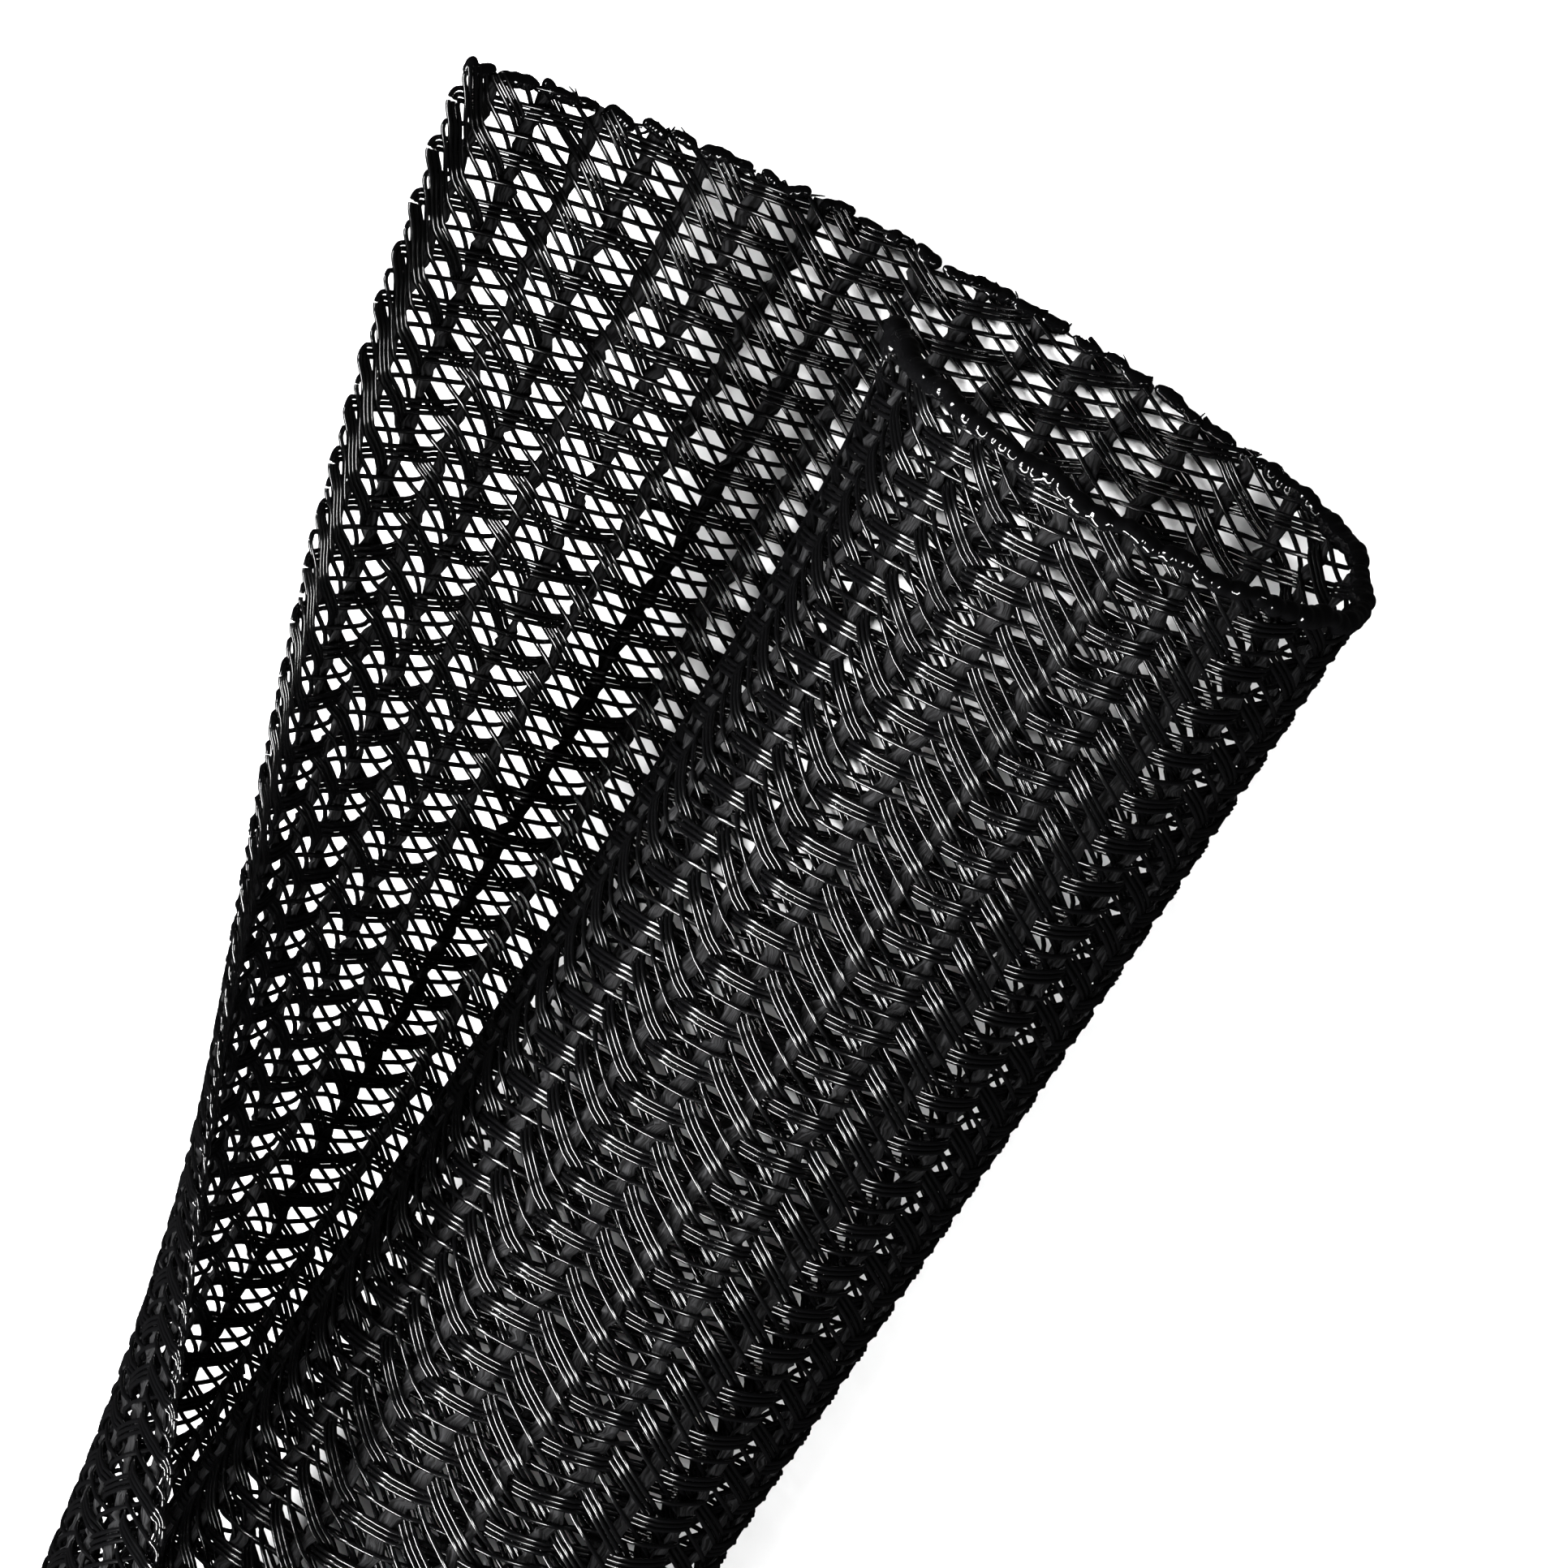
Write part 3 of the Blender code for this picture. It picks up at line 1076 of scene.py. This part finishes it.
def fused_clusters(sheet, end, seed):
    """Beads of melted plastic along a cut end: across, along, rise and radius of each.

    The flap's end melts into short clusters with gaps between them, and the roll's into
    a longer chain.
    """
    draw = np.random.default_rng(seed)
    foot, whole = roll_width(sheet), sheet_width(sheet)
    beads = []
    at = SPRUNG_CLUSTER_START if end == 0 else FAR_CLUSTER_START
    while at < whole:
        kind = ROLL_CLUSTERS if at < foot - CLUSTER_CHANGE else FLAP_CLUSTERS
        length, gap, girth = (draw.uniform(*sizes) * MM for sizes in kind[:3])
        tilt = draw.normal(0.0, CLUSTER_TILT) * MM
        rise = draw.normal(kind[3], CLUSTER_LIFT) * MM
        bow = draw.normal(0.0, CLUSTER_BOW) * MM
        share = np.linspace(-1.0, 1.0, max(int(length / BEAD_SPACING), 2))
        across = at + (share + 1) / 2 * length
        phase = draw.uniform(0, LUMP_PHASE)
        lumps = 1 + LUMP_HEIGHT * np.sin(3 * math.pi * share + phase)
        radius = girth * lumps * (1 - CLUSTER_TAPER * share**6)
        back = cut_line(sheet, across) + tilt * share + bow * (1 - share**2)
        beads.append(np.stack([across, back, np.full_like(share, rise), radius]))
        at += length + gap
    if end == 0:
        beads.append(CORNER_BEADS.T * MM)
    across, back, rise, radius = np.concatenate(beads, -1)
    across = np.clip(across, BEAD_MARGIN, whole - BEAD_MARGIN)
    back = np.clip(back, -BEAD_OVERHANG, None)
    along = back if end == 0 else end - np.clip(back, 0.0, None)
    return across, along, rise, radius


def drawn_thread(draw, share):
    """Travel across and back, rise and radius of a thread that sags between two clusters."""
    across = draw.uniform(*THREAD_LENGTHS) * MM * share
    sag = draw.uniform(*THREAD_SAGS) * MM
    back = sag * 4 * share * (1 - share)
    rise = draw.normal(0.0, THREAD_RISE) * MM + draw.normal(0.0, THREAD_CLIMB) * MM * share
    radius = draw.uniform(*THREAD_RADII) * MM * (0.75 + 0.5 * (2 * share - 1) ** 2)
    return across, back, rise, radius


def horn(draw, share):
    """Travel across and back, rise and radius of a horn that stands off the cut."""
    length = draw.uniform(*HORN_LENGTHS) * MM
    across = length * draw.normal(0.0, HORN_LEAN) * share
    back = -length * share * (1 - HORN_CURL * share) * HORN_REACH
    rise = draw.normal(0.0, HORN_RISE) * MM * share
    radius = draw.uniform(*HORN_RADII) * MM * (1 - HORN_TAPER * share)
    return across, back, rise, radius


def thread_paths(sheet):
    """Thin threads drawn between the clusters of the sprung cut, and horns that stand off."""
    draw = np.random.default_rng(THREAD_SEED)
    whole = sheet_width(sheet)
    share = np.linspace(0.0, 1.0, THREAD_POINTS)
    points, radii = [], []
    for _ in range(THREADS):
        start = draw.uniform(FIRST_THREAD, whole - LAST_THREAD)
        form = horn if draw.random() < HORN_CHANCE else drawn_thread
        across, back, rise, radius = form(draw, share)
        back = np.clip(cut_line(sheet, start + across) + back, -THREAD_OVERHANG, None)
        across = np.clip(start + across, THREAD_MARGIN, whole - THREAD_MARGIN)
        out = sheet_normals(sheet, across, np.clip(back, 0.0, None))
        points.append(sheet_places(sheet, across, back) + out * rise[:, None])
        radii.append(radius)
    return np.concatenate(points), runs_of(radii), np.concatenate(radii)


class SLEEVE_OT_fused_ends(bpy.types.Operator):
    """Fuse the cut ends into beads and threads"""

    bl_idname = "sleeve.fused_ends"
    bl_label = "Fuse Cut Ends"

    def execute(self, context):
        """Make the beads of both cuts, and the threads of the sprung one."""
        scene = context.scene
        sheet = scene.sleeve_sheet
        material = fused_material(scene.sleeve_finish)
        tree = bpy.data.node_groups.get("Fused Beads") or bead_tree()
        # Name, distance from the sprung cut, seed and grain of each fused end
        ends = [
            ("fused_sprung_end", 0.0, 11, 0.1 * MM),
            ("fused_far_end", sheet.length, 12, 0.22 * MM),
        ]
        for name, end, seed, grain in ends:
            across, along, rise, radius = fused_clusters(sheet, end, seed)
            out = sheet_normals(sheet, across, along)
            points = sheet_places(sheet, across, along) + out * rise[:, None]
            grow_piece(name, points, [], {"bead_radius": radius}, tree, {
                "Grain": grain,
                "Softening": SOFTENING,
                "Material": material,
            })
        points, runs, radii = thread_paths(sheet)
        tree = bpy.data.node_groups.get("Drawn Threads") or thread_tree()
        grow_piece("drawn_threads", points, runs, {"thread_radius": radii}, tree, {
            "Sides": THREAD_SIDES,
            "Material": material,
        })
        return {"FINISHED"}


def add_floor(finish):
    """A plain floor, far wider than the sleeve."""
    mesh = bpy.data.meshes.new("floor")
    sides = ((-1, -1), (1, -1), (1, 1), (-1, 1))
    corners = [(FLOOR_REACH * x, FLOOR_REACH * y, 0) for x, y in sides]
    mesh.from_pydata(corners, [], [(0, 1, 2, 3)])
    floor = bpy.data.objects.new("floor", mesh)
    bpy.context.scene.collection.objects.link(floor)
    mesh.materials.append(floor_material(finish))


def add_softbox(name, azimuth, elevation, distance, size, power):
    """A softbox that faces the sprung end. Azimuth 0 is at -Y, and 90 at +X."""
    light = bpy.data.lights.new(name, "AREA")
    light.shape = "RECTANGLE"
    light.size, light.size_y = size
    light.energy = power
    box = bpy.data.objects.new(name, light)
    bpy.context.scene.collection.objects.link(box)
    turn, rise = math.radians(azimuth), math.radians(elevation)
    way = Vector((
        math.sin(turn) * math.cos(rise), -math.cos(turn) * math.cos(rise), math.sin(rise)
    ))
    box.location = LOOK_AT + way * distance
    box.rotation_mode = "QUATERNION"
    box.rotation_quaternion = way.to_track_quat("Z", "Y")
    box.visible_camera = False
    return box


def light_only(box, names):
    """Let a softbox light some objects only, as a backdrop light does the backdrop."""
    lit = bpy.data.collections.new(f"lit_by_{box.name}")
    for name in names:
        lit.objects.link(bpy.data.objects[name])
    box.light_linking.receiver_collection = lit


def add_camera():
    """A camera that looks down on the sprung end, leaning towards its cut."""
    back = Vector((
        math.sin(CAMERA_LEAN) * math.cos(CAMERA_SIDE),
        math.sin(CAMERA_SIDE),
        math.cos(CAMERA_LEAN) * math.cos(CAMERA_SIDE),
    ))
    along = Vector((1, 0, 0)) - back * back.x
    along.normalize()
    sideways = back.cross(along)
    cos, sin = math.cos(CAMERA_ROLL), math.sin(CAMERA_ROLL)
    right = along * cos - sideways * sin
    up = along * sin + sideways * cos
    data = bpy.data.cameras.new("camera")
    data.lens = CAMERA_LENS
    data.clip_start, data.clip_end = 0.01, 100.0
    camera = bpy.data.objects.new("camera", data)
    bpy.context.scene.collection.objects.link(camera)
    camera.rotation_mode = "QUATERNION"
    camera.rotation_quaternion = Matrix((right, up, back)).transposed().to_quaternion()
    camera.location = LOOK_AT + back * CAMERA_DISTANCE
    bpy.context.scene.camera = camera


def add_world():
    """Soft surrounding light, seen as plain white."""
    world = bpy.data.worlds.new("studio")
    world.use_nodes = True
    tree = world.node_tree
    seen = add_node(tree, "ShaderNodeLightPath").outputs["Is Camera Ray"]
    strength = add_node(
        tree, "ShaderNodeMapRange", {"Value": seen, "To Min": WORLD_LIGHT, "To Max": 1.0}
    )
    background = tree.nodes["Background"]
    background.inputs["Color"].default_value = (1.0, 1.0, 1.0, 1.0)
    tree.links.new(strength.outputs["Result"], background.inputs["Strength"])
    bpy.context.scene.world = world


class SLEEVE_OT_stage(bpy.types.Operator):
    """Set up the floor, the world, the softboxes and the camera"""

    bl_idname = "sleeve.stage"
    bl_label = "Set Up Stage"

    def execute(self, context):
        """Add everything that is not part of the sleeve."""
        add_floor(context.scene.sleeve_finish)
        add_world()
        pieces = [piece.name for piece in bpy.data.objects if piece.name in PIECES]
        for softboxes, lit in ((SLEEVE_SOFTBOXES, pieces), (FLOOR_SOFTBOXES, ["floor"])):
            for name, place in softboxes.items():
                light_only(add_softbox(name, *place), lit)
        add_camera()
        context.scene.view_settings.view_transform = "Standard"
        return {"FINISHED"}


OPERATORS = (
    SLEEVE_OT_triple_strands,
    SLEEVE_OT_single_strands,
    SLEEVE_OT_yarns,
    SLEEVE_OT_fused_ends,
    SLEEVE_OT_stage,
)


class SLEEVE_PT_panel(bpy.types.Panel):
    """Sizes and steps of the braided sleeve"""

    bl_label = "Braided Sleeve"
    bl_idname = "SLEEVE_PT_panel"
    bl_space_type = "VIEW_3D"
    bl_region_type = "UI"
    bl_category = "Sleeve"

    def draw(self, context):
        """List the sizes and colours, and a button for each step."""
        for group in (getattr(context.scene, name) for name in GROUPS):
            box = self.layout.box()
            for key in group.__annotations__:
                box.prop(group, key)
        for operator in OPERATORS:
            self.layout.operator(operator.bl_idname)


GROUPS = {
    "sleeve_sheet": SleeveSheet,
    "sleeve_weave": SleeveWeave,
    "sleeve_finish": SleeveFinish,
}


def register():
    """Register the classes and hang the groups on the scene."""
    for group in GROUPS.values():
        bpy.utils.register_class(group)
    for name, group in GROUPS.items():
        setattr(bpy.types.Scene, name, bpy.props.PointerProperty(type=group))
    for operator in OPERATORS:
        bpy.utils.register_class(operator)
    bpy.utils.register_class(SLEEVE_PT_panel)


def unregister():
    """Undo register."""
    bpy.utils.unregister_class(SLEEVE_PT_panel)
    for operator in reversed(OPERATORS):
        bpy.utils.unregister_class(operator)
    for name in GROUPS:
        delattr(bpy.types.Scene, name)
    for group in reversed(GROUPS.values()):
        bpy.utils.unregister_class(group)


def main():
    """Make every piece and the stage."""
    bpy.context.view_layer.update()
    register()
    bpy.ops.sleeve.triple_strands()
    bpy.ops.sleeve.single_strands()
    bpy.ops.sleeve.yarns()
    bpy.ops.sleeve.fused_ends()
    bpy.ops.sleeve.stage()
    bpy.context.view_layer.update()


if __name__ == "__main__":
    main()
